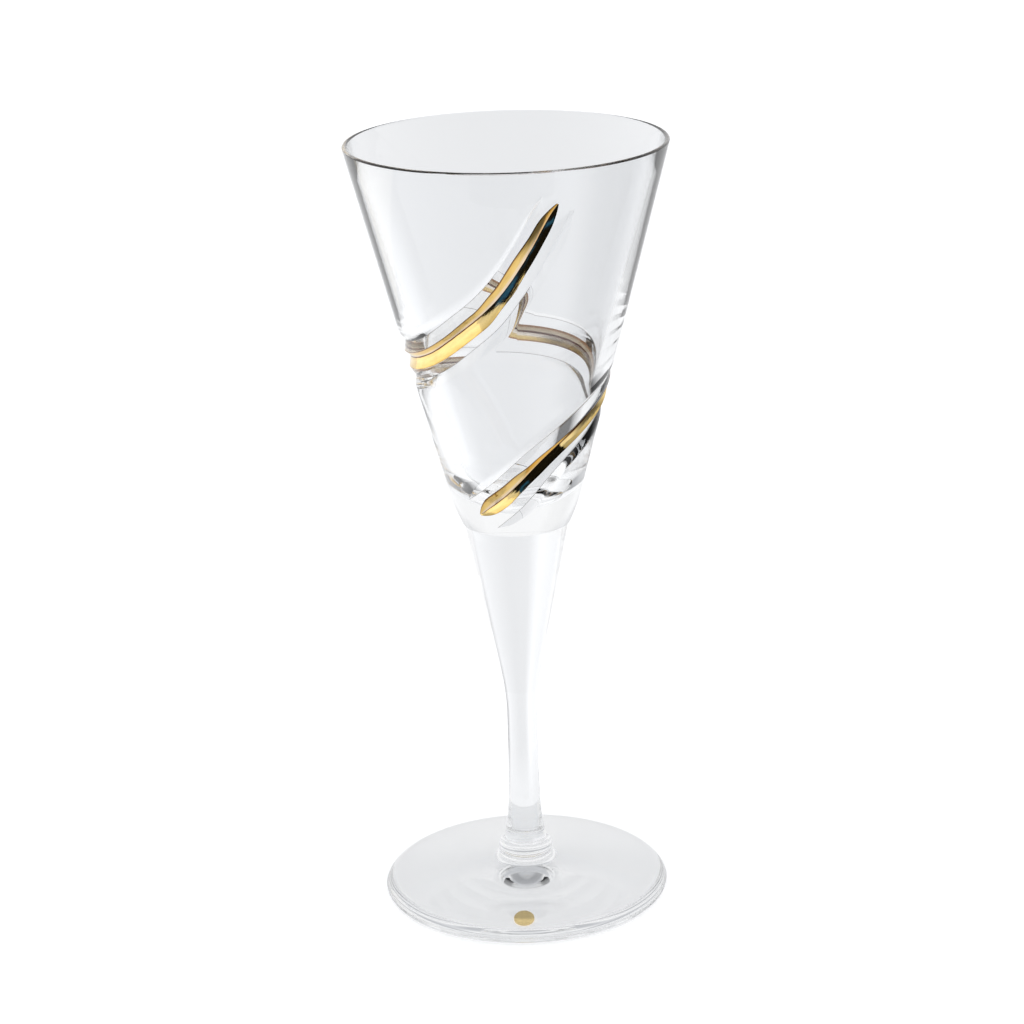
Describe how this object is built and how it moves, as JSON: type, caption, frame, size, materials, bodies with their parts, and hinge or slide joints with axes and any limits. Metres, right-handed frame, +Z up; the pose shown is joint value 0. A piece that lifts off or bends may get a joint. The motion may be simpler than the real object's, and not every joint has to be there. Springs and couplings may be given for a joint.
{
  "type": "stemmed drinking glass",
  "caption": "Clear crystal stemmed glass with a straight conical bowl, a gold-lined spiral cut between two clear cuts, a solid tapered stem, a collar and a round foot.",
  "frame": {"origin": "centre of the circle on which the foot rests", "axes": "+Z up along the stem's axis; -Y is the front, where the upper end of the gold cut is"},
  "size_m": [0.0804, 0.0804, 0.2],
  "materials": {
    "crystal": "fire-polished clear crystal, polished cuts",
    "fired_gold": "bright fired liquid gold, brushed on by hand"
  },
  "bodies": {
    "root": {"bowl": "crystal", "stem": "crystal", "collar": "crystal", "foot": "crystal", "gold_band": "fired_gold", "gold_seal": "fired_gold"}
  },
  "joints": []
}
